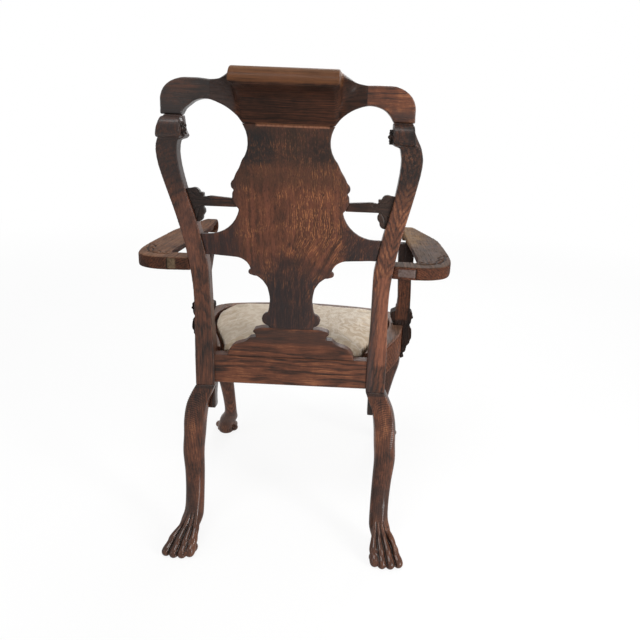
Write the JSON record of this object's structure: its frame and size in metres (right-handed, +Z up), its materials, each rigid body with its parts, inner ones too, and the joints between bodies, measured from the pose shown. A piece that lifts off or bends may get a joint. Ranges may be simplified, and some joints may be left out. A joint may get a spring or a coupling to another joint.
{
  "type": "open armchair",
  "caption": "Carved oak open armchair with a solid vase splat, rolled crest, scrolled posts, flat arms, paw feet and a drop-in damask seat.",
  "frame": {"origin": "centre of the bounding box at floor level", "axes": "+Z up, the chair faces -Y, +X is the sitter's left"},
  "size_m": [0.6944, 0.656, 1.018],
  "materials": {
    "oak": "dark waxed oak",
    "carved_oak": "dark polished carved oak",
    "worn_oak": "waxed oak, worn lighter on top",
    "beech": "bare beech",
    "iron": "dull iron",
    "linen": "coarse jute and hessian",
    "stuffing": "felted hair",
    "damask": "tone-on-tone woven damask"
  },
  "bodies": {
    "frame": {"crest_rail": "worn_oak", "crest_end_left": "oak", "crest_end_right": "oak", "splat": "oak", "splat_shoe": "oak", "stile_left": "oak", "stile_right": "oak", "splat_bar_left": "carved_oak", "splat_bar_right": "carved_oak", "rear_leg_left": "carved_oak", "rear_leg_right": "carved_oak", "front_leg_left": "carved_oak", "front_leg_right": "carved_oak", "rear_rail": "oak", "front_rail": "oak", "side_rail_left": "oak", "side_rail_right": "oak", "seat_rim_left": "worn_oak", "seat_rim_right": "worn_oak", "seat_rim_front": "worn_oak", "rear_knee_brackets": "carved_oak", "front_knee_brackets": "carved_oak", "rear_ledger": "beech", "corner_blocks": "beech", "block_screws": "iron", "arm_left": "worn_oak", "arm_right": "worn_oak", "arm_support_left": "carved_oak", "arm_support_right": "carved_oak", "arm_screws": "iron"},
    "seat": {"slip_rail_front": "beech", "slip_rail_back": "beech", "slip_rail_left": "beech", "slip_rail_right": "beech", "seat_webbing": "linen", "seat_hessian": "linen", "seat_stuffing": "stuffing", "seat_cushion": "damask", "cover_tacks": "iron"}
  },
  "joints": [
    {"name": "seat_lift", "type": "slide", "parent": "frame", "child": "seat", "axis": [0, 0, 1], "range_m": [0, 0.15]}
  ]
}
